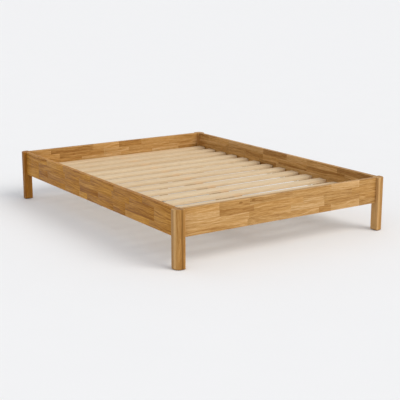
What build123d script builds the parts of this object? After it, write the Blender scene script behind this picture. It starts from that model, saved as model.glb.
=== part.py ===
from build123d import *

import os

# Solid oak bed frame for one 1400 x 1900 mattress, knock-down construction, in millimetres.
# The origin is on the floor at the centre of the footprint. +X is to the right as seen from
# the foot end, +Y runs from foot to head, and +Z is up.

# Driving dimensions: what the frame holds and the timber that it is made of
mattress_width = 1400
mattress_length = 1900
mattress_side_gap = 3
mattress_end_gap = 13
bed_height = 330
leg_side = 57
leg_corner_radius = 35
leg_arris = 4
leg_top_arris = 3
leg_foot_chamfer = 2
rail_height = 157
rail_thickness = 25
rail_setback = 20
rail_arris = 2
glide_thickness = 3
glide_radius = 18
glide_nail_radius = 1.5
glide_nail_length = 15

# Slatted base and what carries it
slat_count = 14
slat_width = 70
slat_thickness = 18
slat_arris = 3
slat_end_gap = 3
slat_leg_gap = 8
deck_top = 232
ledger_width = 25
ledger_height = 30
ledger_arris = 2
ledger_leg_gap = 11
ledger_screw_count = 8
ledger_screw_margin = 80
strap_width = 30
strap_thickness = 1.2
strap_inset = 140
staple_crown = 10
staple_wire = 1
staple_leg = 9
beam_width = 60
beam_height = 38
beam_arris = 3
beam_end_gap = 1

# Steel hook-in fitting of each rail end: a slotted plate in the leg, a hooked plate in the rail
plate_width = 16
plate_height = 134
plate_thickness = 2.5
plate_screw_heights = (60, 1, -59)
hook_heights = (28, -32)
hook_thickness = 3
hook_reach = 6
hook_gap = 0.2
tab_low, tab_high = -6, 10
lip_low = -18
slot_width = 4
slot_high = 24
pocket_width = 6
pocket_low, pocket_high = -20, 26
pocket_depth = 8.5
leg_screw_length = 20
rail_screw_length = 40

# Countersunk wood screws, with a little room round each shank
screw_radius = 2
screw_head_radius = 4
screw_head_height = 2
screw_tip = 5
screw_room = 0.05
drive_radius = 1.6
drive_depth = 1.2
ledger_screw_length = 40
hanger_screw_length = 20

# Steel hanger at each end of the centre beam
hanger_gauge = 2
hanger_wing = 24
hanger_seat = 45
hanger_room = 0.5
hanger_screw_rise = 9

# Centre legs with screw levellers, whose stems have an M10 thread of 1.5 mm pitch
centre_leg_side = 45
centre_leg_arris = 4
centre_leg_share = 1 / 6
centre_leg_foot = 26
bolt_radius = 4
bolt_head_radius = 8.5
bolt_head_height = 3
bolt_length = 60
bolt_socket_radius = 2.9
bolt_recess = 5
insert_wall = 2.5
insert_length = 20
insert_flange = 2
thread_room = 0.05
stem_radius = 5
stem_length = 56
stem_pitch = 1.5
stem_turns = 8
stem_nut_radius = 8.5
stem_nut_height = 5
pad_radius = 22
pad_top_radius = 11
pad_height = 8
pad_edge_height = 2.5
journal_radius = 4
journal_length = 5
journal_play = 0.2

# Sizes that follow from the driving dimensions
inner_width = mattress_width + 2 * mattress_side_gap
inner_length = mattress_length + 2 * mattress_end_gap
outer_width = inner_width + 2 * (rail_thickness + rail_setback)
outer_length = inner_length + 2 * (rail_thickness + rail_setback)
half_width = outer_width / 2
half_length = outer_length / 2
rail_line = rail_setback + rail_thickness / 2
rail_middle = bed_height - rail_height / 2
slat_bottom = deck_top - slat_thickness
slat_reach = half_length - leg_side - slat_leg_gap
ledger_length = outer_length - 2 * (leg_side + ledger_leg_gap)
beam_bottom = slat_bottom - beam_height
beam_length = inner_length - 2 * (hanger_gauge + beam_end_gap)
strap_lines = (strap_inset - inner_width / 2, inner_width / 2 - strap_inset)
stem_foot = pad_height + journal_play
stem_rise = stem_foot + stem_length + stem_turns * stem_pitch
centre_leg_line = centre_leg_share * outer_length

corners = {
    "foot_left": (-1, -1),
    "foot_right": (1, -1),
    "head_left": (-1, 1),
    "head_right": (1, 1),
}
legs = {
    "foot": -centre_leg_line,
    "head": centre_leg_line,
}


def save(part, name):
    """Writes one finished piece under its own name."""
    part.label = name
    export_step(part, f"parts/{name}.step")


def upright(origin, outward):
    """A vertical plane that faces outward, with its own y axis pointing up."""
    return Plane(origin=origin, x_dir=Vector(0, 0, 1).cross(Vector(outward)), z_dir=outward)


def spread(count, reach):
    """Evenly spaced places from -reach to reach."""
    return [reach * (2 * i / (count - 1) - 1) for i in range(count)]


def fitting_planes(sx, sy):
    """The two leg faces that rails butt against, at the middle of each rail end."""
    across = upright((sx * (half_width - leg_side), sy * (half_length - rail_line), rail_middle), (-sx, 0, 0))
    along = upright((sx * (half_width - rail_line), sy * (half_length - leg_side), rail_middle), (0, -sy, 0))
    return [across, along]


def facing(plane):
    """The same place on a face, seen from the piece on its other side."""
    return upright(plane.origin, -plane.z_dir)


def places(plane, heights, x=0):
    """Locations on a plane at the given heights."""
    return [plane.location * Location((x, y, 0)) for y in heights]


def wood_screw(length):
    """A countersunk screw, its head flush with z = 0 and its point downwards."""
    with BuildPart() as screw:
        with BuildSketch(Plane.XZ):
            with BuildLine():
                Polyline(
                    (0, 0),
                    (screw_head_radius, 0),
                    (screw_radius, -screw_head_height),
                    (screw_radius, screw_tip - length),
                    (0, -length),
                    close=True,
                )
            make_face()
        revolve(axis=Axis.Z)
        with BuildSketch():
            RegularPolygon(radius=drive_radius, side_count=6)
        extrude(amount=-drive_depth, mode=Mode.SUBTRACT)
    return screw.part


def screw_hole(length):
    """What a wood screw takes out of the timber: its own shape, a little larger."""
    with BuildPart() as hole:
        with BuildSketch(Plane.XZ):
            with BuildLine():
                Polyline(
                    (0, screw_room),
                    (screw_head_radius + 2 * screw_room, screw_room),
                    (screw_radius + screw_room, -screw_head_height),
                    (screw_radius + screw_room, screw_tip - length),
                    (0, -length - screw_room),
                    close=True,
                )
            make_face()
        revolve(axis=Axis.Z)
    return hole.part


def screws(length, locations):
    """A group of identical screws."""
    master = wood_screw(length)
    with BuildPart() as group:
        with Locations(*locations):
            add(master)
    return group.part


def timber(plane, width, height, length, arris):
    """A planed bar with eased edges: its end lies on the plane and it runs back from there."""
    with BuildPart() as bar:
        with BuildSketch(plane):
            RectangleRounded(width, height, arris)
        extrude(amount=-length)
    return bar.part


def leg(name, sx, sy):
    """A corner post with a broad round outer corner, mortised for its two slotted plates."""
    corner = (sx * half_width, sy * half_length, glide_thickness)
    middle = (sx * (half_width - leg_side / 2), sy * (half_length - leg_side / 2))
    hole = screw_hole(leg_screw_length)
    with BuildPart() as post:
        with BuildSketch(Plane.XY.offset(glide_thickness)) as section:
            with Locations(middle):
                Rectangle(leg_side, leg_side)
            fillet(section.vertices().sort_by_distance(corner)[1:], leg_arris)
            fillet(section.vertices().sort_by_distance(corner)[0], leg_corner_radius)
        extrude(amount=bed_height - glide_thickness)
        fillet(post.faces().sort_by(Axis.Z)[-1].edges(), leg_top_arris)
        chamfer(post.faces().sort_by(Axis.Z)[0].edges(), leg_foot_chamfer)
        for plane in fitting_planes(sx, sy):
            with BuildSketch(plane):
                Rectangle(plate_width, plate_height)
            extrude(amount=-plate_thickness, mode=Mode.SUBTRACT)
            for height in hook_heights:
                with BuildSketch(plane):
                    with Locations((0, height + (pocket_low + pocket_high) / 2)):
                        Rectangle(pocket_width, pocket_high - pocket_low)
                extrude(amount=-pocket_depth, mode=Mode.SUBTRACT)
            with Locations(*places(plane, plate_screw_heights)):
                add(hole, mode=Mode.SUBTRACT)
        with Locations((*middle, glide_thickness)):
            Cylinder(
                glide_nail_radius,
                glide_nail_length,
                align=(Align.CENTER, Align.CENTER, Align.MIN),
                mode=Mode.SUBTRACT,
            )
    save(post.part, f"leg_{name}")


def glide(name, sx, sy):
    """A nail-on glide under a corner post."""
    middle = (sx * (half_width - leg_side / 2), sy * (half_length - leg_side / 2))
    with BuildPart() as disc:
        with Locations(middle):
            Cylinder(glide_radius, glide_thickness, align=(Align.CENTER, Align.CENTER, Align.MIN))
        chamfer(disc.edges().group_by(Axis.Z)[0], glide_thickness / 6)
        with Locations((*middle, glide_thickness)):
            Cylinder(
                glide_nail_radius,
                glide_nail_length,
                align=(Align.CENTER, Align.CENTER, Align.MIN),
            )
    save(disc.part, f"glide_{name}")


def slotted_plates(name, sx, sy):
    """The two plates let into one leg, each with a slot for either hook."""
    hole = screw_hole(leg_screw_length)
    slot_low = tab_low - hook_gap
    with BuildPart() as plates:
        for plane in fitting_planes(sx, sy):
            with BuildSketch(plane):
                Rectangle(plate_width, plate_height)
                for height in hook_heights:
                    with Locations((0, height + (slot_low + slot_high) / 2)):
                        Rectangle(slot_width, slot_high - slot_low, mode=Mode.SUBTRACT)
            extrude(amount=-plate_thickness)
            with Locations(*places(plane, plate_screw_heights)):
                add(hole, mode=Mode.SUBTRACT)
    save(plates.part, f"leg_plates_{name}")


def hook_plates(name, planes):
    """The plates at both ends of one rail, each with two hooks that drop behind a leg's plate."""
    hole = screw_hole(rail_screw_length)
    lip_start = plate_thickness + hook_gap
    with BuildPart() as plates:
        for plane in planes:
            with BuildSketch(plane):
                Rectangle(plate_width, plate_height)
            extrude(amount=-plate_thickness)
            side = Plane(origin=plane.origin, x_dir=plane.z_dir, z_dir=-plane.x_dir)
            with BuildSketch(side):
                for height in hook_heights:
                    with Locations((0, height)):
                        Polygon(
                            (0, tab_low),
                            (lip_start, tab_low),
                            (lip_start, lip_low),
                            (hook_reach, lip_low),
                            (hook_reach, tab_high),
                            (0, tab_high),
                            align=None,
                        )
            extrude(amount=hook_thickness / 2, both=True)
            with Locations(*places(plane, plate_screw_heights)):
                add(hole, mode=Mode.SUBTRACT)
    save(plates.part, f"hook_plates_{name}")


def rail(name, ends, holes=(), hole_length=ledger_screw_length):
    """A board between two legs, mortised at both ends, with the pilot holes of what it carries."""
    end_hole = screw_hole(rail_screw_length)
    side_hole = screw_hole(hole_length)
    length = (ends[0].origin - ends[1].origin).length
    stock = timber(ends[0], rail_thickness, rail_height, length, rail_arris)
    with BuildPart() as board:
        add(stock)
        for plane in ends:
            with BuildSketch(plane):
                Rectangle(plate_width, plate_height)
            extrude(amount=-plate_thickness, mode=Mode.SUBTRACT)
            with Locations(*places(plane, plate_screw_heights)):
                add(end_hole, mode=Mode.SUBTRACT)
        with Locations(*holes):
            add(side_hole, mode=Mode.SUBTRACT)
    save(board.part, name)


def ledger_screw_places(sx):
    """Where one ledger's screws start, on its inner face."""
    inner = sx * (inner_width / 2 - ledger_width)
    plane = upright((inner, 0, slat_bottom - ledger_height / 2), (-sx, 0, 0))
    reach = ledger_length / 2 - ledger_screw_margin
    return [plane.location * Location((y, 0, 0)) for y in spread(ledger_screw_count, reach)]


def ledger(name, sx):
    """The batten along a side rail that the slats lie on."""
    middle = (sx * (inner_width - ledger_width) / 2, ledger_length / 2, slat_bottom - ledger_height / 2)
    stock = timber(upright(middle, (0, 1, 0)), ledger_width, ledger_height, ledger_length, ledger_arris)
    hole = screw_hole(ledger_screw_length)
    with BuildPart() as batten:
        add(stock)
        with Locations(*ledger_screw_places(sx)):
            add(hole, mode=Mode.SUBTRACT)
    save(batten.part, f"slat_ledger_{name}")


def hanger_plane(sy):
    """The inner face of an end rail, at the middle of the beam's height."""
    return upright((0, sy * inner_length / 2, beam_bottom + beam_height / 2), (0, -sy, 0))


def hanger_screw_places(sy):
    """The four screws through a hanger's wings."""
    face = hanger_plane(sy).offset(hanger_gauge)
    out = beam_width / 2 + hanger_room + hanger_gauge + hanger_wing / 2
    heights = (-hanger_screw_rise, hanger_screw_rise)
    return places(face, heights, -out) + places(face, heights, out)


def beam_hanger(name, sy):
    """A folded steel saddle: a back with two wings, two cheeks and a seat for the beam's end."""
    plane = hanger_plane(sy)
    inside = beam_width + 2 * hanger_room
    hole = screw_hole(hanger_screw_length)
    with BuildPart() as saddle:
        with BuildSketch(plane):
            Rectangle(inside + 2 * (hanger_gauge + hanger_wing), beam_height)
        extrude(amount=hanger_gauge)
        with BuildSketch(plane):
            with Locations((0, -hanger_gauge / 2)):
                Rectangle(inside + 2 * hanger_gauge, beam_height + hanger_gauge)
            with Locations((0, 0)):
                Rectangle(inside, beam_height, mode=Mode.SUBTRACT)
        extrude(amount=hanger_gauge + hanger_seat)
        with Locations(*hanger_screw_places(sy)):
            add(hole, mode=Mode.SUBTRACT)
    save(saddle.part, f"beam_hanger_{name}")


def centre_beam():
    """The bar down the middle of the bed, bored for the bolts of its two legs."""
    end = upright((0, beam_length / 2, beam_bottom + beam_height / 2), (0, 1, 0))
    stock = timber(end, beam_width, beam_height, beam_length, beam_arris)
    with BuildPart() as beam:
        add(stock)
        with Locations(*[(0, y, slat_bottom) for y in legs.values()]):
            CounterBoreHole(
                radius=bolt_radius + thread_room,
                counter_bore_radius=bolt_head_radius + thread_room,
                counter_bore_depth=bolt_recess,
            )
    save(beam.part, "centre_beam")


def leg_bolts():
    """The flat-headed socket bolts that hold the centre legs to the beam."""
    seat = slat_bottom - bolt_recess
    down = (Align.CENTER, Align.CENTER, Align.MAX)
    with BuildPart() as bolts:
        for y in legs.values():
            with Locations((0, y, seat + bolt_head_height)):
                Cylinder(bolt_head_radius, bolt_head_height, align=down)
            with Locations((0, y, seat)):
                Cylinder(bolt_radius, bolt_length, align=down)
            with BuildSketch(Plane.XY.offset(seat + bolt_head_height)):
                with Locations((0, y)):
                    RegularPolygon(radius=bolt_socket_radius, side_count=6)
            extrude(amount=-bolt_head_height, mode=Mode.SUBTRACT)
    save(bolts.part, "centre_leg_bolts")


def threaded_inserts(name, bore, face, downwards):
    """The screw-in sleeves at one end of both centre legs, each with a thin flange on the wood."""
    with BuildPart() as sleeves:
        for y in legs.values():
            plane = Plane(origin=(0, y, face), z_dir=(0, 0, -1 if downwards else 1))
            with BuildSketch(plane):
                Circle(bore + insert_wall)
                Circle(bore + thread_room, mode=Mode.SUBTRACT)
            extrude(amount=-insert_length)
            with BuildSketch(plane):
                Circle(bore + 2 * insert_wall)
                Circle(bore + thread_room, mode=Mode.SUBTRACT)
            extrude(amount=-insert_flange)
    save(sleeves.part, name)


def centre_leg(name, y):
    """A square post under the beam, bored at both ends for its inserts, bolt and leveller."""
    height = beam_bottom - centre_leg_foot
    top = Plane(origin=(0, y, beam_bottom))
    foot = Plane(origin=(0, y, centre_leg_foot), z_dir=(0, 0, -1))
    bolt_bore = bolt_length - beam_height + bolt_recess + insert_wall
    stem_bore = stem_rise + insert_wall - centre_leg_foot
    stock = timber(top, centre_leg_side, centre_leg_side, height, centre_leg_arris)
    with BuildPart() as post:
        add(stock)
        for plane, bore, depth in ((top, bolt_radius, bolt_bore), (foot, stem_radius, stem_bore)):
            with BuildSketch(plane):
                Circle(bore + 2 * insert_wall)
            extrude(amount=-insert_flange, mode=Mode.SUBTRACT)
            with BuildSketch(plane):
                Circle(bore + insert_wall)
            extrude(amount=-insert_length, mode=Mode.SUBTRACT)
            with BuildSketch(plane):
                Circle(bore + thread_room)
            extrude(amount=-depth, mode=Mode.SUBTRACT)
    save(post.part, f"centre_leg_{name}")


def leveller_stem(name, y):
    """The threaded stem of a leveller: a journal that turns in the pad, a spanner nut and the shank."""
    with BuildPart() as stem:
        with BuildSketch(Plane.XY.offset(stem_foot)):
            with Locations((0, y)):
                RegularPolygon(radius=stem_nut_radius, side_count=6)
        extrude(amount=stem_nut_height)
        with Locations((0, y, stem_foot)):
            Cylinder(journal_radius, journal_length, align=(Align.CENTER, Align.CENTER, Align.MAX))
            Cylinder(stem_radius, stem_length, align=(Align.CENTER, Align.CENTER, Align.MIN))
        chamfer(stem.edges().filter_by(GeomType.CIRCLE).sort_by(Axis.Z)[-1], 1)
    save(stem.part, f"leveller_stem_{name}")


def leveller_pad(name, y):
    """The round foot of a leveller, with a blind socket for the stem's journal."""
    with BuildPart() as pad:
        with Locations((0, y, 0)):
            Cylinder(pad_radius, pad_edge_height, align=(Align.CENTER, Align.CENTER, Align.MIN))
        with Locations((0, y, pad_edge_height)):
            Cone(
                pad_radius,
                pad_top_radius,
                pad_height - pad_edge_height,
                align=(Align.CENTER, Align.CENTER, Align.MIN),
            )
        with Locations((0, y, pad_height)):
            Hole(radius=journal_radius + thread_room, depth=journal_length)
    save(pad.part, f"leveller_pad_{name}")


def staples(strap_places, slat_places):
    """Wire staples driven up through the given straps into the given slats."""
    wire_faces = (0, -1, 0)
    height = staple_leg + staple_wire
    with BuildPart() as group:
        for x in strap_places:
            for y in slat_places:
                crown = (x, y, slat_bottom - strap_thickness)
                with BuildSketch(Plane(origin=crown, x_dir=(1, 0, 0), z_dir=wire_faces)):
                    with Locations((0, height / 2 - staple_wire)):
                        Rectangle(staple_crown, height)
                    with Locations((0, staple_leg / 2)):
                        Rectangle(staple_crown - 2 * staple_wire, staple_leg, mode=Mode.SUBTRACT)
                extrude(amount=staple_wire / 2, both=True)
    return group.part


def slat(number, y):
    """One cross slat, with the prick holes of its two staples."""
    length = inner_width - 2 * slat_end_gap
    end = upright((length / 2, y, slat_bottom + slat_thickness / 2), (1, 0, 0))
    stock = timber(end, slat_width, slat_thickness, length, slat_arris)
    pricks = staples(strap_lines, [y])
    with BuildPart() as board:
        add(stock)
        add(pricks, mode=Mode.SUBTRACT)
    save(board.part, f"slat_{number:02d}")


def strap(name, x):
    """A webbing strap under the slats, which keeps their spacing."""
    pricks = staples([x], slat_lines)
    with BuildPart() as tape:
        with BuildSketch(Plane.XY.offset(slat_bottom)):
            with Locations((x, 0)):
                Rectangle(strap_width, 2 * slat_reach)
        extrude(amount=-strap_thickness)
        add(pricks, mode=Mode.SUBTRACT)
    save(tape.part, f"slat_strap_{name}")


def corner_posts():
    """Legs, glides and slotted plates, and the screws of all the plates."""
    for name, (sx, sy) in corners.items():
        leg(name, sx, sy)
        glide(name, sx, sy)
        slotted_plates(name, sx, sy)
    leg_places = []
    rail_places = []
    for sx, sy in corners.values():
        for plane in fitting_planes(sx, sy):
            leg_places += places(plane, plate_screw_heights)
            rail_places += places(facing(plane), plate_screw_heights)
    save(screws(leg_screw_length, leg_places), "leg_plate_screws")
    save(screws(rail_screw_length, rail_places), "hook_plate_screws")


def rails():
    """The four boards of the frame and their hooked plates."""
    ends = {}
    for name, (sx, sy) in corners.items():
        ends[name] = [facing(plane) for plane in fitting_planes(sx, sy)]
    for end, sy in (("foot", -1), ("head", 1)):
        planes = [ends[f"{end}_left"][0], ends[f"{end}_right"][0]]
        rail(f"{end}_rail", planes, hanger_screw_places(sy), hanger_screw_length)
        hook_plates(f"{end}_rail", planes)
    for side, sx in (("left", -1), ("right", 1)):
        planes = [ends[f"foot_{side}"][1], ends[f"head_{side}"][1]]
        rail(f"side_rail_{side}", planes, ledger_screw_places(sx))
        hook_plates(f"side_rail_{side}", planes)


def slat_supports():
    """Ledgers, centre beam, its hangers, legs and levellers."""
    for name, sx in (("left", -1), ("right", 1)):
        ledger(name, sx)
    ledger_places = ledger_screw_places(-1) + ledger_screw_places(1)
    save(screws(ledger_screw_length, ledger_places), "ledger_screws")
    for name, sy in (("foot", -1), ("head", 1)):
        beam_hanger(name, sy)
    hanger_places = hanger_screw_places(-1) + hanger_screw_places(1)
    save(screws(hanger_screw_length, hanger_places), "hanger_screws")
    centre_beam()
    leg_bolts()
    threaded_inserts("bolt_inserts", bolt_radius, beam_bottom, downwards=False)
    threaded_inserts("leveller_inserts", stem_radius, centre_leg_foot, downwards=True)
    for name, y in legs.items():
        centre_leg(name, y)
        leveller_stem(name, y)
        leveller_pad(name, y)


def slatted_base():
    """Slats, straps and staples, which lift out together."""
    for number, y in enumerate(slat_lines, start=1):
        slat(number, y)
    for name, x in zip(("left", "right"), strap_lines):
        strap(name, x)
    save(staples(strap_lines, slat_lines), "strap_staples")


slat_lines = spread(slat_count, slat_reach - slat_width / 2)

os.makedirs("parts", exist_ok=True)
corner_posts()
rails()
slat_supports()
slatted_base()
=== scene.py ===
"""Oak bed frame: finishes and visible detail around the fixed frame, and a plain studio to show it in."""

import math

import bpy
import numpy as np
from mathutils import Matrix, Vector


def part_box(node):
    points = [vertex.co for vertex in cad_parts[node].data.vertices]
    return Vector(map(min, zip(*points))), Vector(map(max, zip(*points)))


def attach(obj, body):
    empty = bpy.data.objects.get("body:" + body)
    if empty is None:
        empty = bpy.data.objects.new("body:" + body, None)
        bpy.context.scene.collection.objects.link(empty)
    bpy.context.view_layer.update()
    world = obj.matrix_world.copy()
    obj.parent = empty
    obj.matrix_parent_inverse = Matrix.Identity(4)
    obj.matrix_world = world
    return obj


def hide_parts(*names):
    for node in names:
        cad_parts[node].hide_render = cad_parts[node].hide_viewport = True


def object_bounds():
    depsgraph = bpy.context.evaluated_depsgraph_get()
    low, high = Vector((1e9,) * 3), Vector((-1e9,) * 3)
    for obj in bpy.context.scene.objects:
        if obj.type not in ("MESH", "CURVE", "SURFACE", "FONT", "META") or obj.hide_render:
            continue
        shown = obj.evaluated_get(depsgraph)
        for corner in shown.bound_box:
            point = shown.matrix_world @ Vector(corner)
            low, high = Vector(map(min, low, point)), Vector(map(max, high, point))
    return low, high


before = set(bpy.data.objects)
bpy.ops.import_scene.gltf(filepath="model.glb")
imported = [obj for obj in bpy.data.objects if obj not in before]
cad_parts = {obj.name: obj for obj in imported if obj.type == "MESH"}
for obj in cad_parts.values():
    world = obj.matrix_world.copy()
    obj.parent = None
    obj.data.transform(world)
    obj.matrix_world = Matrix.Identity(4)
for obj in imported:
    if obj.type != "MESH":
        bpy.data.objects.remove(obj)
cad_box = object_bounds()

bl_info = {
    "name": "Oak Bed Frame",
    "version": (1, 0, 0),
    "blender": (4, 5, 0),
    "location": "View3D > Sidebar > Bed",
    "description": "Makes the boards, finishes and fittings of a low oak bed frame",
    "category": "Object",
}

MM = 0.001
FULL_TURN = 2 * math.pi
X, Y, Z = 0, 1, 2
WHITE = (1.0, 1.0, 1.0)
# Longer than the bed, for a cell that holds every board of a row.
FAR = 10.0

# How glossy the surfaces are beside bare lacquer.
OILED_GLOSS = 0.16
PAINTED_GLOSS = 0.15

# The studio: tints of the lights, where the low light comes from, the height at which the sky
# reaches its own brightness, and the radii of the floor's rings in metres.
KEY_TINT = (1.0, 0.956, 0.884)
SKY_TINT = (0.955, 0.98, 1.02)
FILL_FROM = (-1.0, -0.35, 0.25)
SKY_HEIGHT = 0.35
FLOOR_RINGS = (60.0, 12.0, 3.0)
FLOOR_SIDES = 96

BED_LOW, BED_HIGH = cad_box
BED_SIZE = BED_HIGH - BED_LOW

SLATS = sorted(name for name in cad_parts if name[:5] == "slat_" and name[5:].isdigit())
CENTRE_LEGS = ("centre_leg_foot", "centre_leg_head")
LEDGERS = ("slat_ledger_left", "slat_ledger_right")
STRAPS = ("slat_strap_left", "slat_strap_right")

# Staves of the two boards at the front, row by row from the top: (length in millimetres, paleness).
# The last stave of a row runs to the end of the board.
FOOT_RAIL_ROWS = (
    ((230, 0.45), (205, 0.36), (300, 0.40), (290, 0.44), (220, 0.92), (0, 0.30)),
    ((232, 0.78), (230, 0.24), (355, 0.52), (150, 0.50), (220, 0.30), (0, 0.34)),
    ((430, 0.62), (295, 0.50), (250, 0.80), (275, 0.28), (0, 0.66)),
    ((420, 0.60), (220, 0.40), (295, 0.48), (90, 0.20), (225, 0.60), (0, 0.30)),
)
SIDE_RAIL_ROWS = (
    ((330, 0.55), (245, 0.72), (380, 0.45), (290, 0.50), (330, 0.26), (0, 0.40)),
    ((200, 0.50), (400, 0.42), (200, 0.48), (420, 0.58), (210, 0.46), (270, 0.34), (0, 0.50)),
    ((200, 0.55), (140, 0.12), (470, 0.34), (240, 0.08), (330, 0.30), (320, 0.14), (0, 0.66)),
    ((200, 0.85), (400, 0.24), (200, 0.50), (105, 0.95), (335, 0.22), (140, 0.10), (270, 0.90), (0, 0.52)),
)

# Small knots in the foot rail, in millimetres from its left end and from its top.
FOOT_RAIL_KNOTS = ((370, 19), (457, 15))

# Each leg: the paleness of its three lamellae from the outside, the painted light that makes its outer
# side face paler, its dark heartwood, and its warmth and contrast.
LEG_TONES = {
    # The foot-left leg's full outer paleness is painted light on its shaded left face.
    "leg_foot_left": ((0.10, 0.16, 0.20), (1.0, 0.95), (0.30, 0.45)),
    # The foot-right leg's pale third lamella is painted light for its inner side face, which is in shade.
    "leg_foot_right": ((0.20, 0.32, 0.80), (0.1, 0.1), (0.0, 0.45)),
    # The head-left leg's zero paleness and high warmth are painted shade: they darken a leg that stands in
    # the bed's shadow.
    "leg_head_left": ((0.0, 0.0, 0.0), (0.0, 0.3), (1.0, 0.5)),
    "leg_head_right": ((0.40, 0.60, 0.30), (0.3, 0.2), (0.2, 0.5)),
}


# ---------------------------------------------------------------------------------------------
# Shader expressions


class Term:
    """One output in a finish. Arithmetic on it adds Math nodes."""

    def __init__(self, finish, output):
        self.finish = finish
        self.output = output

    def __add__(self, other):
        return self.finish.maths("ADD", self, other)

    def __sub__(self, other):
        return self.finish.maths("SUBTRACT", self, other)

    def __rsub__(self, other):
        return self.finish.maths("SUBTRACT", other, self)

    def __mul__(self, other):
        return self.finish.maths("MULTIPLY", self, other)

    def __truediv__(self, other):
        return self.finish.maths("DIVIDE", self, other)

    def __pow__(self, other):
        return self.finish.maths("POWER", self, other)

    __radd__ = __add__
    __rmul__ = __mul__


class Finish:
    """One material: a Principled surface and the nodes that feed it."""

    def __init__(self, name):
        self.material = bpy.data.materials.new(name)
        self.material.use_nodes = True
        self.tree = self.material.node_tree
        self.surface = self.tree.nodes["Principled BSDF"]

    def node(self, kind, settings=None, inputs=None, output=0):
        """Adds a node: its settings first, then its sockets' values or links, and gives one output."""
        made = self.tree.nodes.new("ShaderNode" + kind)
        for name, value in (settings or {}).items():
            if name == "stops":
                self.set_stops(made.color_ramp, value)
            else:
                setattr(made, name, value)
        for socket, value in (inputs or {}).items():
            self.feed(made.inputs[socket], value)
        return Term(self, made.outputs[output])

    def feed(self, socket, value):
        """Links a term to a socket, or sets the socket's own value."""
        if isinstance(value, Term):
            self.tree.links.new(value.output, socket)
        else:
            socket.default_value = value

    def set_stops(self, ramp, stops):
        """Gives a colour ramp its (position, colour) stops."""
        while len(ramp.elements) < len(stops):
            ramp.elements.new(1.0)
        for element, (position, colour) in zip(ramp.elements, stops):
            element.position = position
            element.color = (*colour, 1.0)

    def set(self, **sockets):
        """Sets sockets of the surface by name, with _ for a space."""
        for name, value in sockets.items():
            self.feed(self.surface.inputs[name.replace("_", " ").title()], value)

    def maths(self, operation, *terms):
        """One Math node on terms or numbers."""
        return self.node("Math", {"operation": operation}, dict(enumerate(terms)))

    def mix(self, share, first, second, blend="MIX"):
        """Two colours mixed by a share of the second."""
        settings = {"data_type": "RGBA", "blend_type": blend}
        return self.node("Mix", settings, {0: share, 6: first, 7: second}, 2)

    def rise(self, value, low, high, start=0.0, end=1.0):
        """A smooth step from start, at low, to end, at high."""
        inputs = {0: value, 1: low, 2: high, 3: start, 4: end}
        return self.node("MapRange", {"interpolation_type": "SMOOTHSTEP"}, inputs)

    def place(self, x, y, z):
        """A point from three terms or numbers."""
        return self.node("CombineXYZ", inputs={0: x, 1: y, 2: z})

    def split(self, vector):
        """The three numbers of a vector or colour."""
        made = self.node("SeparateXYZ", inputs={0: vector}).output.node
        return [Term(self, output) for output in made.outputs]

    def noise(self, vector, detail=2.0, roughness=0.5):
        """Smooth noise from 0 to 1, with features one unit across."""
        inputs = {"Vector": vector, "Scale": 1.0, "Detail": detail, "Roughness": roughness}
        return self.node("TexNoise", inputs=inputs)

    def draws(self, vector):
        """Three even random numbers that change only with the vector."""
        return self.split(self.node("TexWhiteNoise", inputs={"Vector": vector}, output="Color"))

    def position(self, order=(X, Y, Z)):
        """The object's own coordinates in metres, in the order asked."""
        axes = self.split(self.node("TexCoord", output="Object"))
        return [axes[axis] for axis in order]

    def bump(self, height, depth, strength=1.0):
        """Relief of the given depth in metres, from a height that runs from 0 to 1."""
        relief = self.node("Bump", inputs={"Strength": strength, "Distance": depth, "Height": height})
        self.set(normal=relief)


# ---------------------------------------------------------------------------------------------
# Settings that a user would change


def colour(name, description, default):
    """A colour property."""
    return bpy.props.FloatVectorProperty(
        name=name, description=description, default=default, subtype="COLOR", min=0.0, max=1.0
    )


def length(name, description, default):
    """A length property, in metres."""
    return bpy.props.FloatProperty(name=name, description=description, default=default, unit="LENGTH")


class BED_PG_timber(bpy.types.PropertyGroup):
    """Oak, birch and pine"""

    stave_rows: bpy.props.IntProperty(
        name="Stave rows", description="Rows of staves in a rail's height", default=4, min=1, max=8
    )
    stave_seam: length("Seam", "Width of the eased seam between two staves", 0.25 * MM)
    finger_length: length("Finger length", "Length of the fingers that join staves end to end", 5 * MM)
    finger_count: bpy.props.IntProperty(
        name="Fingers", description="Fingers across a rail's thickness", default=6, min=2, max=12
    )
    rail_arris: length("Rail arris", "Radius of the rails' eased long edges", 2 * MM)
    lamella: length("Lamella", "Thickness of a leg's first two lamellae", 21 * MM)
    oak_dark: colour("Oak, dark", "Darkest staves", (0.27, 0.122, 0.027))
    oak_middle: colour("Oak, middle", "Most staves", (0.468, 0.264, 0.090))
    oak_pale: colour("Oak, pale", "Palest staves", (0.68, 0.450, 0.240))
    oak_heart: colour("Oak, heart", "Heartwood at a glue line", (0.20, 0.090, 0.018))
    oak_warmth: colour("Oak, warmth", "Tint of the warmest boards", (0.92, 0.72, 0.28))
    birch_dark: colour("Birch, dark", "Darkest slats", (0.60, 0.42, 0.235))
    birch_pale: colour("Birch, pale", "Palest slats", (0.76, 0.61, 0.41))
    pine_dark: colour("Pine, dark", "Late wood of the ledgers and beam", (0.52, 0.30, 0.125))
    pine_pale: colour("Pine, pale", "Early wood of the ledgers and beam", (0.74, 0.54, 0.30))


class BED_PG_fittings(bpy.types.PropertyGroup):
    """Steel, plastic and webbing"""

    zinc: colour("Zinc", "Plated screws, plates and levellers", (0.56, 0.57, 0.585))
    galvanised: colour("Galvanised", "Folded hangers and staples", (0.48, 0.495, 0.51))
    brass_zinc: colour("Yellow zinc", "Threaded inserts", (0.60, 0.49, 0.26))
    glide: colour("Glides", "Plastic of the leg glides", (0.115, 0.075, 0.045))
    pad: colour("Pads", "Plastic of the leveller pads", (0.030, 0.030, 0.032))
    webbing: colour("Webbing", "Yarn of the straps", (0.62, 0.585, 0.50))
    thread_pitch: length("Thread pitch", "Pitch of the leveller's screw thread", 1.5 * MM)
    strap_sag: length("Strap sag", "How far a strap hangs between two slats", 1.6 * MM)


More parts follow.
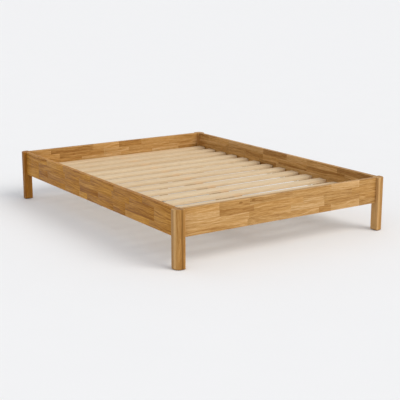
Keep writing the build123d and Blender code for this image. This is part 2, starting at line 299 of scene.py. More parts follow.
class BED_PG_studio(bpy.types.PropertyGroup):
    """Floor, lights and camera"""

    floor: colour("Floor", "Plain floor", (0.868, 0.872, 0.886))
    sky: bpy.props.FloatProperty(
        name="Sky", description="Brightness of the soft light all round", default=0.648
    )
    horizon: bpy.props.FloatProperty(name="Horizon", description="Brightness low down", default=0.90)
    key_strength: bpy.props.FloatProperty(
        name="Key strength", description="Strength of the broad light at the front, in W/m2", default=1.79
    )
    key_turn: bpy.props.FloatProperty(
        name="Key turn", description="Bearing of the key light, from the foot end to the right",
        default=math.radians(26), subtype="ANGLE",
    )
    key_rise: bpy.props.FloatProperty(
        name="Key rise", description="Height of the key light above the horizon",
        default=math.radians(41), subtype="ANGLE",
    )
    key_spread: bpy.props.FloatProperty(
        name="Key spread", description="Angle that the key light fills, which softens the shadows",
        default=math.radians(42), subtype="ANGLE",
    )
    fill_strength: bpy.props.FloatProperty(
        name="Fill strength", description="Strength of the low light at the left, in W/m2", default=0.36
    )
    camera_turn: bpy.props.FloatProperty(
        name="Camera turn", description="Bearing of the camera, from the foot end to the left",
        default=math.radians(33.79), subtype="ANGLE",
    )
    camera_rise: bpy.props.FloatProperty(
        name="Camera rise", description="Angle that the camera looks down", default=math.radians(13.57),
        subtype="ANGLE",
    )
    camera_distance: length("Camera distance", "From the camera to the point it looks at", 5.794)
    camera_lens: bpy.props.FloatProperty(name="Lens", description="Focal length in mm", default=84.5)
    camera_aim: bpy.props.FloatVectorProperty(
        name="Aim", description="Point looked at, in shares of the bed's size from its bottom centre",
        default=(-0.0896, -0.1533, 0.5),
    )


# ---------------------------------------------------------------------------------------------
# Surfaces


def add_piece(name, vertices, faces, material, smooth=True):
    """A mesh object at the origin from whole arrays of vertices and faces."""
    mesh = bpy.data.meshes.new(name)
    mesh.from_pydata(vertices.tolist(), [], faces.tolist() if hasattr(faces, "tolist") else faces)
    mesh.materials.append(material)
    if smooth:
        mesh.shade_smooth()
    else:
        mesh.shade_flat()
    mesh.update()
    piece = bpy.data.objects.new(name, mesh)
    bpy.context.scene.collection.objects.link(piece)
    return piece


def grid_faces(rows, columns):
    """Quads of a grid whose columns close on themselves: each joins two rows and two columns."""
    row, column = np.meshgrid(np.arange(rows - 1), np.arange(columns), indexing="ij")
    here = row * columns + column
    beside = row * columns + (column + 1) % columns
    return np.stack([here, beside, beside + columns, here + columns], axis=-1).reshape(-1, 4)


def solid_of_rings(rings):
    """Vertices and faces of a closed solid: rings round an upward axis, each end closed by a fan."""
    rows, columns = rings.shape[:2]
    vertices = np.concatenate([rings.reshape(-1, 3), rings[:1].mean(axis=1), rings[-1:].mean(axis=1)])
    first = np.arange(columns)
    after = (first + 1) % columns
    low_centre = np.full(columns, rows * columns)
    last = (rows - 1) * columns
    low_fan = np.stack([after, first, low_centre], axis=-1)
    high_fan = np.stack([last + first, last + after, low_centre + 1], axis=-1)
    return vertices, grid_faces(rows, columns).tolist() + low_fan.tolist() + high_fan.tolist()


def turned(radius, heights, centre):
    """Rings of a turned shape: each point stands at its own radius from the centre line.

    x and y are the centre plus the radius times the cosine and sine of the turn, and z is the height.
    """
    turn = np.linspace(0, FULL_TURN, radius.shape[1], endpoint=False)
    x = centre[X] + radius * np.cos(turn)
    y = centre[Y] + radius * np.sin(turn)
    return np.stack([x, y, np.broadcast_to(heights[:, None], x.shape)], axis=-1)


def stave_ring(width, low, high, low_radius, high_radius, fingers):
    """The section of one stave, across the board's thickness, as (through, up) points in a ring.

    The upper edge is a line that drops to each side by a quarter circle of its own radius, and the
    lower edge mirrors it. Between the quarter circles the points stand at every half finger, and the
    same point of both edges stands above the other, so that an end can be closed by strips.
    """
    angle = np.linspace(0, math.pi / 2, 5)
    flat = np.linspace(-width / 2, width / 2, 2 * fingers + 1)[1:-1]

    def edge(radius):
        beyond = width / 2 - radius + radius * np.cos(angle)
        drop = radius * (1 - np.sin(angle))
        through = np.concatenate([-beyond, flat, beyond[::-1]])
        return through, np.concatenate([drop, 0 * flat, drop[::-1]])

    top_through, top_drop = edge(high_radius)
    low_through, low_drop = edge(low_radius)
    top = np.stack([top_through, high - top_drop], axis=-1)
    bottom = np.stack([low_through, low + low_drop], axis=-1)
    return top, bottom


def stave(start, end, section, width, seam, finger, pitch, first_end, last_end):
    """One stave: its section carried along the board, with fingers at its ends.

    Along the board a point stands at the stave's end plus half a finger's length times a triangle
    wave of its place through the thickness. At each end the last quarter millimetre narrows by the
    seam, which leaves a fine groove between neighbours. Gives vertices, faces and a seam mark.
    """
    top, bottom = section
    ring = np.concatenate([top, bottom[::-1]])
    wave = 1 - 2 * np.abs((ring[:, 0] / pitch) % 1.0 * 2 - 1)
    ends = ((start, 0, first_end), (start, 1, first_end), (end, -1, last_end), (end, 0, last_end))
    stations = []
    for where, inward, board_end in ends:
        along = where + inward * seam + (0 if board_end else finger / 2) * wave
        narrow = 1 - (0 if inward else seam / width)
        stations.append(np.stack([along, ring[:, 0] * narrow, ring[:, 1]], axis=-1))
    vertices = np.concatenate(stations)
    count = len(ring)
    upper = np.arange(len(top) - 1)
    lower = count - 1 - upper
    near_cap = np.stack([upper, upper + 1, lower - 1, lower], axis=-1)
    far_cap = near_cap[:, ::-1] + 3 * count
    faces = np.concatenate([grid_faces(4, count)[:, ::-1], near_cap, far_cap])
    mark = np.repeat([1.0, 0.0, 0.0, 1.0], count)
    return vertices, faces, mark


def drawn_rows(random, rows, board_length):
    """Rows of staves for a board that isn't at the front: lengths and palenesses drawn at random."""
    plan = []
    for _ in range(rows):
        row = []
        step = random.uniform(0.12, 0.40)
        reach = step
        while reach < board_length - 0.15:
            row.append((step / MM, random.uniform(0.1, 0.9)))
            step = random.uniform(0.17, 0.44)
            reach += step
        row.append((0, random.uniform(0.1, 0.9)))
        plan.append(row)
    return plan


def stave_board(name, node, axis, plan, random, material, settings):
    """A board of finger-jointed staves in rows, in the space of the CAD board that it stands for."""
    low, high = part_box(node)
    other = X + Y - axis
    width = high[other] - low[other]
    board_length = high[axis] - low[axis]
    levels = np.linspace(high[Z], low[Z], len(plan) + 1)
    fingers = settings.finger_count
    seam = settings.stave_seam
    vertices, faces, marks, draws = [], [], [], []
    count = 0
    for row, staves in enumerate(plan):
        radii = [seam / 2, seam / 2]
        if row == len(plan) - 1:
            radii[0] = settings.rail_arris
        if row == 0:
            radii[1] = settings.rail_arris
        section = stave_ring(width, levels[row + 1], levels[row], *radii, fingers)
        start = 0.0
        for number, (stave_length, paleness) in enumerate(staves):
            last = number == len(staves) - 1
            end = board_length if last else start + stave_length * MM
            points, quads, mark = stave(
                start, end, section, width, seam, settings.finger_length, width / fingers, number == 0, last
            )
            vertices.append(points)
            faces.append(quads + count)
            marks.append(mark)
            draws.append(np.tile([paleness, random.uniform(), random.uniform()], (len(points), 1)))
            count += len(points)
            start = end
    local = np.concatenate(vertices)
    placed = np.empty_like(local)
    if axis == X:
        placed[:, X] = low[X] + local[:, 0]
        placed[:, Y] = (low[Y] + high[Y]) / 2 + local[:, 1]
    else:
        placed[:, Y] = high[Y] - local[:, 0]
        placed[:, X] = (low[X] + high[X]) / 2 + local[:, 1]
    placed[:, Z] = local[:, 2]
    piece = add_piece(name, placed, np.concatenate(faces), material, smooth=False)
    piece.data.set_sharp_from_angle(angle=math.radians(35))
    colours = np.concatenate([np.concatenate(draws), np.concatenate(marks)[:, None]], axis=1)
    attribute = piece.data.attributes.new("stave", "FLOAT_COLOR", "POINT")
    attribute.data.foreach_set("color", colours.astype(np.float32).ravel())
    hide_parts(node)
    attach(piece, "frame")
    return piece


# ---------------------------------------------------------------------------------------------
# Timber finishes


def grain(finish, along, across, through, draws, ring_width):
    """Growth rings, streaks and pores at a point of a board, each from 0 to 1.

    The pith is a line along the board, set off from it by the board's own draws. The distance from
    that line, stirred by slow noise, counts the rings: a saw-tooth of it is one ring, from open early
    wood to dense late wood. Streaks and pores are noise stretched along the grain.
    """
    first, second, third = draws
    u = along + first * 9.0
    lean = (second - 0.5) * 0.05
    v = across + (second - 0.5) * 0.11 + along * lean
    w = through + 0.012 + 0.075 * third
    reach = (v * v + w * w) ** 0.5
    slow = finish.noise(finish.place(u * 2.2, v * 9, w * 9), detail=2.0)
    fine = finish.noise(finish.place(u * 11, v * 90, w * 90), detail=2.0)
    count = (reach + (slow - 0.5) * 0.030 + (fine - 0.5) * 0.0022) / ring_width
    saw = finish.maths("FRACT", count)
    ring = finish.rise(saw, 0.0, 0.25) * finish.rise(saw, 0.72, 1.0, 1.0, 0.0)
    sockets = {"W": count * 0.37, "Scale": 1.0, "Detail": 2.0}
    year = finish.node("TexNoise", {"noise_dimensions": "1D"}, sockets)
    streak = finish.noise(finish.place(u * 7, v * 170, w * 170), detail=4.0, roughness=0.6)
    pore = finish.rise(finish.noise(finish.place(u * 140, v * 1500, w * 1500), detail=1.0), 0.60, 0.70)
    return ring, year, streak, pore * (1 - ring * 0.6)


def edge_wear(finish, low, high, pitch=0.0):
    """How near a point on a box is to one of its edges: 1 at the edge and 0 a few millimetres away.

    Of the distances to the nearest face on each axis the smallest is nought, and the middle one is the
    distance to the nearest edge. With a pitch, the box repeats along the bed.
    """
    gaps = []
    for axis, place in enumerate(finish.position()):
        offset = place - (low[axis] + high[axis]) / 2
        if pitch and axis == Y:
            offset = offset - finish.maths("ROUND", offset / pitch) * pitch
        gaps.append((high[axis] - low[axis]) / 2 - finish.maths("ABSOLUTE", offset))
    smaller = finish.maths("MINIMUM", gaps[X], gaps[Y])
    larger = finish.maths("MAXIMUM", gaps[X], gaps[Y])
    middle = finish.maths("MAXIMUM", smaller, finish.maths("MINIMUM", larger, gaps[Z]))
    x, y, z = finish.position()
    ragged = finish.noise(finish.place(x * 45, y * 45, z * 45), detail=3.0)
    return finish.rise(middle + (ragged - 0.5) * (6 * MM), 0.0, 2.5 * MM, 1.0, 0.0)


def oak(finish, space, draws, paleness, settings, look, box, seam=None, knots=()):
    """Feeds a finish as oiled oak. The look is its warmth, towards orange, and the figure's contrast.

    Round a knot the tone follows a sine of the distance from it, which dies away over a few rings.
    """
    warmth, contrast = look
    along, across, through = space
    ring, year, streak, pore = grain(finish, along, across, through, draws, ring_width=4.2 * MM)
    fleck = finish.noise(finish.place(along * 34, across * 300, through * 300), detail=2.0)
    figure = (year - 0.5) * 1.1 + (streak - 0.5) * 1.7 + (fleck - 0.5) * 0.9 + (0.4 - ring) * 0.30
    tone = paleness * 0.53 + 0.22 + figure * contrast
    cores = []
    for knot_along, knot_across in knots:
        stir = finish.noise(finish.place(along * 60, across * 150, through * 60), detail=3.0) * 1.3
        offset = ((along - knot_along) / (9 * MM)) ** 2 + ((across - knot_across) / (4.5 * MM)) ** 2
        rings = offset**0.5 * (0.35 + stir)
        tone = tone + finish.maths("SINE", rings * 4.5) * finish.rise(rings, 0.8, 3.5, 0.18, 0.0)
        tone = tone - finish.rise(rings, 0.6, 2.5, 0.22, 0.0)
        cores.append(finish.rise(rings, 0.35, 0.95, 0.9, 0.0))
    dark, middle, pale = settings.oak_dark, settings.oak_middle, settings.oak_pale
    stops = ((0.0, dark), (0.42, middle), (1.0, pale))
    base = finish.node("ValToRGB", {"stops": stops}, {0: tone})
    # The warmth mixes in the warm tint. On the left side rail and the head-left leg a high warmth is
    # painted shade.
    tint = finish.mix(draws[2] * 0.3 + warmth, (*WHITE, 1.0), (*settings.oak_warmth, 1.0))
    base = finish.mix(1.0, base, tint, "MULTIPLY")
    base = finish.mix(pore * 0.55, base, (*settings.oak_heart, 1.0))
    knot_space = finish.place(along * 2.6 + draws[1] * 7, across * 13, draws[0] * 31)
    cell = finish.node("TexVoronoi", inputs={"Vector": knot_space, "Scale": 1.0})
    pin_knot = finish.rise(cell, 0.035, 0.10, 1.0, 0.0) * finish.rise(cell, 0.0, 0.03, 0.6, 1.0)
    base = finish.mix(pin_knot * 0.6, base, (*settings.oak_heart, 1.0))
    if seam is not None:
        base = finish.mix(seam * 0.55, base, (*settings.oak_heart, 1.0))
    for core in cores:
        base = finish.mix(core, base, (*settings.oak_heart, 1.0))
    wear = edge_wear(finish, *box)
    base = finish.mix(wear * 0.30, base, (*settings.oak_pale, 1.0))
    finish.set(roughness=0.46 + 0.14 * pore + 0.10 * (1 - streak) - 0.08 * wear)
    finish.feed(finish.surface.inputs["Specular IOR Level"], OILED_GLOSS)
    finish.bump(ring * 0.35 + streak * 0.4 - pore * 0.5, 0.35 * MM, 0.5)
    return base


def rail_oak(name, node, axis, look, settings, knots):
    """Oak for a stave board: each stave reads its paleness and draws from the board's attribute.

    Knots are given in millimetres from the board's start and from its top.
    """
    finish = Finish(name)
    along, across, through = finish.position((axis, Z, X + Y - axis))
    stored = finish.node("Attribute", {"attribute_name": "stave"}, output="Color")
    seam = Term(finish, stored.output.node.outputs["Alpha"])
    paleness, first, second = finish.split(stored)
    third = finish.maths("FRACT", first * 7.3 + second * 3.1)
    low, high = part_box(node)
    placed = [(low[axis] + start * MM, high[Z] - down * MM) for start, down in knots]
    space, draws = (along, across, through), (first, second, third)
    base = oak(finish, space, draws, paleness, settings, look, (low, high), seam, placed)
    finish.set(base_color=base)
    return finish.material


def leg_oak(name, node, tones, edges, look, settings):
    """Oak for a leg of three lamellae glued side by side, with upright grain.

    The lamella is the whole number of lamella thicknesses from the leg's outer side, and tones gives
    each one's paleness. Edges gives how much paler the outer side face is painted, as painted light on
    that face, and how dark the band of heartwood is at the second glue line.
    """
    finish = Finish(name)
    low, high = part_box(node)
    up, across, through = finish.position((Z, X, Y))
    outer, inward = (low[X], 1) if low[X] < 0 else (high[X], -1)
    depth = (across - outer) * (inward / settings.lamella)
    lamella = finish.maths("FLOOR", depth)
    step = finish.maths("FRACT", depth)
    draws = finish.draws(finish.place(lamella, low[X] * 9.7, low[Y] * 5.3))
    first, second, third = tones
    second_on = finish.maths("GREATER_THAN", lamella, 0.5)
    third_on = finish.maths("GREATER_THAN", lamella, 1.5)
    outer_light, heart = edges
    # Painted light: the leg's outer side face is painted paler, in place of light on that face.
    painted_outer_light = finish.rise(depth, 0.08, 0.42, outer_light, 0.0)
    paleness = first + second_on * (second - first) + third_on * (third - second) + painted_outer_light
    base = oak(finish, (up, across, through), draws, paleness, settings, look, (low, high))
    middle = finish.maths("COMPARE", lamella, 1.0, 0.5)
    ragged = (finish.noise(finish.place(up * 7, across * 60, through * 14)) - 0.5) * 0.35
    band = finish.rise(step + ragged, 0.34, 0.46) * middle
    fade = finish.noise(finish.place(up * 5, 0.0, 3.7)) * 0.5 + 0.75 - up * 0.6
    base = finish.mix(band * fade * heart, base, (*settings.oak_heart, 1.0))
    glue = finish.rise(finish.maths("ABSOLUTE", step - 0.5), 0.485, 0.5)
    base = finish.mix(glue * 0.5, base, (*settings.oak_heart, 1.0))
    # Painted shade: the wood darkens over the bottom centimetre of the leg, towards the floor.
    foot = finish.rise(up, 3 * MM, 10 * MM, 0.55, 0.0)
    finish.set(base_color=finish.mix(foot, base, (*settings.oak_heart, 1.0)))
    return finish.material


def plain_wood(name, order, dark, pale, ring_width, cell, stir=1.0, slat=None):
    """Unfinished softwood or birch, planed: two colours mixed by rings and streaks.

    Boards in one row take their draws from which cell of the row they stand in. A slat's box and its
    row's pitch give worn edges.
    """
    finish = Finish(name)
    along, across, through = finish.position(order)
    axes = finish.position()
    steps = [finish.maths("FLOOR", axis / size + 0.5) for axis, size in zip(axes, cell)]
    draws = finish.draws(finish.place(*steps))
    ring, year, streak, pore = grain(finish, along, across, through, draws, ring_width)
    fleck = finish.noise(finish.place(along * 30, across * 420, through * 420), detail=2.0)
    figure = (year - 0.5) * 0.9 * stir + (streak - 0.5) * 1.1 + (fleck - 0.5) * 0.5 + ring * 0.5 * stir
    tone = figure + draws[0] * 0.4 + 0.10
    tone = finish.maths("MINIMUM", finish.maths("MAXIMUM", tone, 0.0), 1.0)
    base = finish.mix(tone, (*pale, 1.0), (*dark, 1.0))
    base = finish.mix(pore * 0.16, base, (*(0.6 * part for part in dark), 1.0))
    if slat is not None:
        base = finish.mix(edge_wear(finish, *slat) * 0.35, base, (*dark, 1.0))
    finish.set(base_color=base, roughness=0.62 + 0.12 * streak)
    finish.bump(ring * 0.5 + streak * 0.4, 0.25 * MM, 0.45)
    return finish.material


# ---------------------------------------------------------------------------------------------
# Metal, plastic and webbing finishes


def plated_steel(name, base, roughness, grain_size, spread):
    """Plated steel: a blotchy bright skin with fine scratches. Grain size is the blotches', in metres."""
    finish = Finish(name)
    x, y, z = finish.position()
    blotch_space = finish.place(x / grain_size, y / grain_size, z / grain_size)
    cells = finish.node("TexVoronoi", inputs={"Vector": blotch_space, "Scale": 1.0}, output="Color")
    blotch = finish.split(cells)[0]
    scratch = finish.noise(finish.place(x * 300, y * 300, z * 4000), detail=3.0)
    shade = blotch * spread + scratch * 0.10 - 0.05 - spread / 2
    bright = (*(min(1.0, 1.35 * part) for part in base), 1.0)
    dull = (*(0.7 * part for part in base), 1.0)
    finish.set(base_color=finish.mix(shade + 0.5, dull, bright), metallic=1.0)
    finish.set(roughness=roughness + blotch * 0.10 + scratch * 0.08)
    finish.bump(scratch, 0.05 * MM, 0.4)
    return finish.material


def moulded_plastic(name, base, roughness):
    """Moulded plastic with a fine spark-eroded texture and a little dust."""
    finish = Finish(name)
    x, y, z = finish.position()
    texture = finish.noise(finish.place(x * 1400, y * 1400, z * 1400), detail=2.0)
    dust = finish.noise(finish.place(x * 60, y * 60, z * 60), detail=4.0)
    worn = (*(min(1.0, part * 1.8 + 0.02) for part in base), 1.0)
    finish.set(base_color=finish.mix(finish.rise(dust, 0.45, 0.8, 0.0, 0.5), (*base, 1.0), worn))
    finish.set(roughness=roughness + 0.12 * texture)
    finish.bump(texture, 0.10 * MM, 0.5)
    return finish.material


def woven_webbing(name, base):
    """Polyester webbing: a twill of yarns across the strap.

    Across and along are the strap's own unwrapped coordinates, in metres. A yarn is a rounded wave,
    and neighbouring yarns start half a wave apart.
    """
    finish = Finish(name)
    across, along, _ = finish.split(finish.node("TexCoord", output="UV"))
    column = across / (1.6 * MM)
    row = along / (1.1 * MM)
    offset = finish.maths("FLOOR", column) * 0.5
    yarn = finish.maths("SINE", (row + offset) * FULL_TURN) * 0.5 + 0.5
    groove = finish.maths("SINE", column * FULL_TURN) * 0.25 + 0.5
    fuzz = finish.noise(finish.place(across * 900, along * 900, 0.0), detail=3.0)
    height = yarn * 0.5 + groove * 0.3 + fuzz * 0.2
    shadow = (*(0.55 * part for part in base), 1.0)
    finish.set(base_color=finish.mix(finish.rise(height, 0.15, 0.7), shadow, (*base, 1.0)))
    finish.set(roughness=0.78 + 0.12 * fuzz)
    finish.bump(height, 0.25 * MM, 0.8)
    return finish.material


def plain_floor(name, base):
    """A matt studio floor with the faintest mottle."""
    finish = Finish(name)
    x, y, z = finish.position()
    mottle = finish.noise(finish.place(x * 3, y * 3, z), detail=3.0)
    darker = (*(0.985 * part for part in base), 1.0)
    finish.set(base_color=finish.mix(mottle, darker, (*base, 1.0)), roughness=0.92)
    finish.feed(finish.surface.inputs["Specular IOR Level"], PAINTED_GLOSS)
    return finish.material


def give(material, *nodes):
    """Puts a finish on CAD nodes, which keep their meshes."""
    for name in nodes:
        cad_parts[name].material_slots[0].material = material


# ---------------------------------------------------------------------------------------------
# Operators, one for each piece or group of like pieces


class BED_OT_rails(bpy.types.Operator):
    """Boards of finger-jointed oak staves between the legs"""

    bl_idname = "bed.rails"
    bl_label = "Rails"

    def execute(self, context):
        settings = context.scene.bed_timber
        random = np.random.default_rng(11)
        low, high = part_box("foot_rail")
        side_low, side_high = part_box("side_rail_left")
        rows = settings.stave_rows
        boards = (
            ("foot_rail", X, FOOT_RAIL_ROWS, (0.0, 0.65), FOOT_RAIL_KNOTS),
            # The left side rail's high warmth is painted shade: it makes this shaded side darker and more
            # orange than the foot rail, though both are the same oak.
            ("side_rail_left", Y, SIDE_RAIL_ROWS, (0.94, 0.90), ()),
            ("head_rail", X, drawn_rows(random, rows, high[X] - low[X]), (0.1, 0.75), ()),
            ("side_rail_right", Y, drawn_rows(random, rows, side_high[Y] - side_low[Y]), (0.2, 0.75), ()),
        )
        for node, axis, plan, look, knots in boards:
            material = rail_oak(node + "_oak", node, axis, look, settings, knots)
            stave_board(node + "_staves", node, axis, plan, random, material, settings)
        return {"FINISHED"}


class BED_OT_legs(bpy.types.Operator):
    """Laminated oak corner posts"""

    bl_idname = "bed.legs"
    bl_label = "Legs"

    def execute(self, context):
        settings = context.scene.bed_timber
        for node, (tones, edges, look) in LEG_TONES.items():
            give(leg_oak(node + "_oak", node, tones, edges, look, settings), node)
        return {"FINISHED"}


class BED_OT_slats(bpy.types.Operator):
    """Birch slats"""

    bl_idname = "bed.slats"
    bl_label = "Slats"

    def execute(self, context):
        settings = context.scene.bed_timber
        first, second = (sum(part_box(name), Vector()) / 2 for name in SLATS[:2])
        cell = (FAR, second[Y] - first[Y], FAR)
        slat = (*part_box(SLATS[0]), second[Y] - first[Y])
        colours = settings.birch_dark, settings.birch_pale
        wood = plain_wood("slat_birch", (X, Y, Z), *colours, 2.6 * MM, cell, 0.6, slat)
        give(wood, *SLATS)
        return {"FINISHED"}


class BED_OT_supports(bpy.types.Operator):
    """Pine ledgers, centre beam and centre legs"""

    bl_idname = "bed.supports"
    bl_label = "Slat supports"

    def execute(self, context):
        settings = context.scene.bed_timber
        dark, pale = settings.pine_dark, settings.pine_pale
        cell = (BED_SIZE[X] / 3, FAR, FAR)
        give(plain_wood("support_pine", (Y, X, Z), dark, pale, 3.4 * MM, cell), "centre_beam", *LEDGERS)
        cell = (FAR, BED_SIZE[Y] / 3, FAR)
        upright = plain_wood("centre_leg_pine", (Z, X, Y), dark, pale, 3.4 * MM, cell)
        give(upright, *CENTRE_LEGS)
        return {"FINISHED"}


class BED_OT_straps(bpy.types.Operator):
    """Webbing straps under the slats, hanging a little between them"""

    bl_idname = "bed.straps"
    bl_label = "Straps"

    def execute(self, context):
        settings = context.scene.bed_fittings
        material = woven_webbing("strap_webbing", settings.webbing)
        slats = [sum(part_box(name), Vector()) / 2 for name in SLATS]
        for node in STRAPS:
            self.strap(node, slats, material, settings.strap_sag)
        return {"FINISHED"}

    def strap(self, node, slats, material, sag):
        """A thin band with rounded edges, carried along the bed under the slats.

        Between two slats its height drops by the sag times a squared sine, so it leaves each slat level.
        """
        low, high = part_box(node)
        width, thickness = high[X] - low[X], high[Z] - low[Z]
        pitch = slats[1][Y] - slats[0][Y]
        half_slat = (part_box(SLATS[0])[1][Y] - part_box(SLATS[0])[0][Y]) / 2
        along = np.linspace(low[Y], high[Y], 16 * len(slats) + 1)
        from_slat = (along - slats[0][Y]) % pitch
        span = np.clip((from_slat - half_slat) / (pitch - 2 * half_slat), 0, 1)
        drop = sag * np.sin(math.pi * span) ** 2
        turn = np.linspace(0, FULL_TURN, 24, endpoint=False)
        side = np.sign(np.cos(turn)) * np.abs(np.cos(turn)) ** 0.25
        rise = np.sign(np.sin(turn)) * np.abs(np.sin(turn)) ** 0.5
        x = (low[X] + high[X]) / 2 + side * width / 2
        z = (low[Z] + high[Z]) / 2 + rise * thickness / 2
        rings = np.empty((len(along), len(turn), 3))
        rings[..., X] = x
        rings[..., Y] = along[:, None]
        rings[..., Z] = z - drop[:, None]
        vertices, faces = solid_of_rings(rings[:, ::-1])
        piece = add_piece(node + "_webbing", vertices, faces, material)
        unwrapped = piece.data.uv_layers.new(name="UVMap")
        corners = np.empty(len(piece.data.loops), dtype=np.int32)
        piece.data.loops.foreach_get("vertex_index", corners)
        unwrapped.data.foreach_set("uv", vertices[corners][:, [X, Y]].astype(np.float32).ravel())
        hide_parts(node)
        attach(piece, "slat_deck")


class BED_OT_fittings(bpy.types.Operator):
    """Plates, hangers, screws, bolts, inserts, staples and glides"""

    bl_idname = "bed.fittings"
    bl_label = "Fittings"

    def execute(self, context):
        settings = context.scene.bed_fittings
        zinc = plated_steel("zinc_plate", settings.zinc, 0.30, 2 * MM, 0.12)
        galvanised = plated_steel("galvanised_sheet", settings.galvanised, 0.38, 7 * MM, 0.45)
        yellow = plated_steel("yellow_zinc", settings.brass_zinc, 0.32, 2 * MM, 0.15)
        names = sorted(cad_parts)
        plates = [name for name in names if name.startswith(("leg_plates_", "hook_plates_"))]
        screws = [name for name in names if name.endswith("_screws")]
        give(zinc, "centre_leg_bolts", *plates, *screws)
        give(galvanised, "beam_hanger_foot", "beam_hanger_head", "strap_staples")
        give(yellow, "bolt_inserts", "leveller_inserts")
        glides = [name for name in names if name.startswith("glide_")]
        give(moulded_plastic("glide_plastic", settings.glide, 0.5), *glides)
        return {"FINISHED"}


class BED_OT_levellers(bpy.types.Operator):
    """Threaded leveller stems with a spanner nut, and their pads"""

    bl_idname = "bed.levellers"
    bl_label = "Levellers"

    def execute(self, context):
        settings = context.scene.bed_fittings
        steel = plated_steel("stem_zinc", settings.zinc, 0.28, 2 * MM, 0.10)
        for end in ("foot", "head"):
            self.stem(end, steel, settings.thread_pitch)
        give(moulded_plastic("pad_plastic", settings.pad, 0.55), "leveller_pad_foot", "leveller_pad_head")
        return {"FINISHED"}

    def stem(self, end, steel, pitch):
        """A screw thread and a hexagon nut, both as a radius that depends on turn and height.

        Thread: the root radius plus a ridge, whose share is a clipped triangle wave of the height in
        pitches less the turn in whole turns, so it climbs as a right-hand helix. Nut: a flat-sided
        radius, the flats' distance over the cosine of the angle from a flat, cut by a cone at both ends.
        """
        node = f"leveller_stem_{end}"
        low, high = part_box(node)
        centre = (low + high) / 2
        corner_radius = (high[X] - low[X]) / 2
        pad_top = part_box(f"leveller_pad_{end}")[1][Z]
        nut_low, nut_high = pad_top + 0.2 * MM, pad_top + 5.2 * MM
        outer = 5.0 * MM
        depth = 0.6 * MM
        columns = 48
        turn = np.linspace(0, FULL_TURN, columns, endpoint=False)

        heights = np.linspace(nut_high - 0.5 * MM, high[Z], 24 * round((high[Z] - nut_high) / pitch))
        wave = (heights[:, None] / pitch - turn / FULL_TURN) % 1.0
        ridge = np.clip(1.25 - 2.5 * np.abs(wave * 2 - 1), 0, 1)
        point = np.clip((high[Z] - heights[:, None]) / (1.2 * MM), 0, 1)
        thread = turned((outer - depth) + depth * ridge * point - depth * (1 - point), heights, centre)

        inset = np.array([0, 0, 0.15, 0.3, 0.5, 0.75]) * MM
        levels = np.concatenate([nut_low + inset, nut_high - inset[::-1]])
        flats = corner_radius * math.cos(math.pi / 6)
        hexagon = flats / np.cos((turn + math.pi / 6) % (math.pi / 3) - math.pi / 6)
        cone = 0.99 * flats + np.concatenate([inset, inset[::-1]]) * math.sqrt(3)
        cone[[0, -1]] = flats / 2
        nut = turned(np.minimum(hexagon, cone[:, None]), levels, centre)

        journal = turned(np.full((2, columns), 4.0 * MM), np.array([low[Z], nut_low + 0.1 * MM]), centre)
        vertices, faces = [], []
        for rings in (thread, nut, journal):
            points, quads = solid_of_rings(rings)
            count = sum(len(done) for done in vertices)
            vertices.append(points)
            faces += [[corner + count for corner in face] for face in quads]
        piece = add_piece(node + "_thread", np.concatenate(vertices), faces, steel)
        piece.data.set_sharp_from_angle(angle=math.radians(30))
        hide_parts(node)
        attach(piece, node)


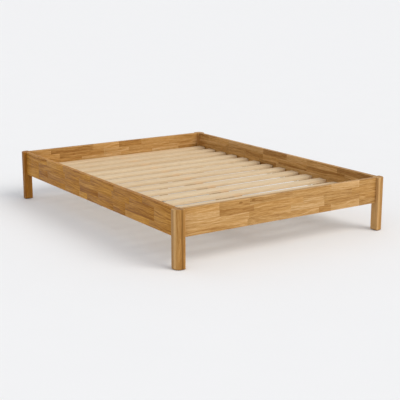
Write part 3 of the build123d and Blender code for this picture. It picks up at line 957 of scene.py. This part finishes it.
class BED_OT_studio(bpy.types.Operator):
    """Plain floor, soft lights and the camera"""

    bl_idname = "bed.studio"
    bl_label = "Studio"

    def execute(self, context):
        settings = context.scene.bed_studio
        self.floor(settings)
        self.sky(context.scene, settings)
        turn, rise = settings.key_turn, settings.key_rise
        front = Vector((math.sin(turn), -math.cos(turn), math.tan(rise)))
        self.lamp("key", settings.key_strength, settings.key_spread, front, KEY_TINT)
        self.lamp("fill", settings.fill_strength, settings.key_spread * 2, Vector(FILL_FROM), WHITE)
        self.camera(context.scene, settings)
        context.scene.view_settings.view_transform = "Standard"
        return {"FINISHED"}

    def floor(self, settings):
        """A flat round disc under the bed: rings of growing radius round the middle."""
        radii = np.array(FLOOR_RINGS)
        disc = turned(np.repeat(radii[:, None], FLOOR_SIDES, axis=1), np.zeros(len(radii)), (0, 0))
        count = disc.shape[1]
        first = np.arange(count)
        inner = (len(radii) - 1) * count + first
        fan = np.stack([inner, np.roll(inner, -1), np.full(count, len(radii) * count)], axis=-1)
        vertices = np.concatenate([disc.reshape(-1, 3), np.zeros((1, 3))])
        faces = grid_faces(len(radii), count).tolist() + fan.tolist()
        add_piece("floor", vertices, faces, plain_floor("floor_paint", settings.floor))

    def sky(self, scene, settings):
        """Soft light all round: brighter at the horizon than overhead, by the height of the direction."""
        scene.world = bpy.data.worlds.new("soft_sky")
        scene.world.use_nodes = True
        nodes, links = scene.world.node_tree.nodes, scene.world.node_tree.links
        background = nodes["Background"]
        direction = nodes.new("ShaderNodeTexCoord")
        height = nodes.new("ShaderNodeSeparateXYZ")
        ramp = nodes.new("ShaderNodeMapRange")
        links.new(direction.outputs["Generated"], height.inputs[0])
        links.new(height.outputs["Z"], ramp.inputs[0])
        for index, value in enumerate((0.0, SKY_HEIGHT, settings.horizon, settings.sky), start=1):
            ramp.inputs[index].default_value = value
        links.new(ramp.outputs[0], background.inputs["Strength"])
        background.inputs["Color"].default_value = (*SKY_TINT, 1.0)

    def lamp(self, name, strength, spread, away, tint):
        """One broad even light that shines at the bed's middle from a direction."""
        lamp = bpy.data.lights.new(name, "SUN")
        lamp.energy = strength
        lamp.angle = spread
        lamp.color = tint
        light = bpy.data.objects.new(name, lamp)
        bpy.context.scene.collection.objects.link(light)
        light.location = away.normalized() * BED_SIZE.length
        light.rotation_euler = away.to_track_quat("Z", "Y").to_euler()

    def camera(self, scene, settings):
        """A long lens beyond the foot-left corner, looking down at the bed."""
        lens = bpy.data.cameras.new("camera")
        lens.lens = settings.camera_lens
        camera = bpy.data.objects.new("camera", lens)
        scene.collection.objects.link(camera)
        base = (BED_LOW + BED_HIGH) / 2
        base[Z] = BED_LOW[Z]
        aim = base + Vector(share * size for share, size in zip(settings.camera_aim, BED_SIZE))
        turn, rise = settings.camera_turn, settings.camera_rise
        level = math.cos(rise)
        back = Vector((-math.sin(turn) * level, -math.cos(turn) * level, math.sin(rise)))
        camera.location = aim + back * settings.camera_distance
        camera.rotation_euler = back.to_track_quat("Z", "Y").to_euler()
        scene.camera = camera


class BED_PT_panel(bpy.types.Panel):
    """The bed's parts and settings"""

    bl_idname = "BED_PT_panel"
    bl_label = "Oak Bed Frame"
    bl_space_type = "VIEW_3D"
    bl_region_type = "UI"
    bl_category = "Bed"

    def draw(self, context):
        for operator in OPERATORS:
            self.layout.operator(operator.bl_idname)
        for group in GROUPS:
            self.layout.separator()
            settings = getattr(context.scene, GROUPS[group])
            for name in group.__annotations__:
                self.layout.prop(settings, name)


GROUPS = {
    BED_PG_timber: "bed_timber",
    BED_PG_fittings: "bed_fittings",
    BED_PG_studio: "bed_studio",
}
OPERATORS = (
    BED_OT_studio,
    BED_OT_rails,
    BED_OT_legs,
    BED_OT_slats,
    BED_OT_supports,
    BED_OT_straps,
    BED_OT_fittings,
    BED_OT_levellers,
)


def register():
    for group, name in GROUPS.items():
        bpy.utils.register_class(group)
        setattr(bpy.types.Scene, name, bpy.props.PointerProperty(type=group))
    for part in (*OPERATORS, BED_PT_panel):
        bpy.utils.register_class(part)


def unregister():
    for part in (BED_PT_panel, *reversed(OPERATORS)):
        bpy.utils.unregister_class(part)
    for group, name in GROUPS.items():
        delattr(bpy.types.Scene, name)
        bpy.utils.unregister_class(group)


def main():
    """Makes everything in order."""
    register()
    for operator in OPERATORS:
        group, name = operator.bl_idname.split(".")
        getattr(getattr(bpy.ops, group), name)()


if __name__ == "__main__":
    main()
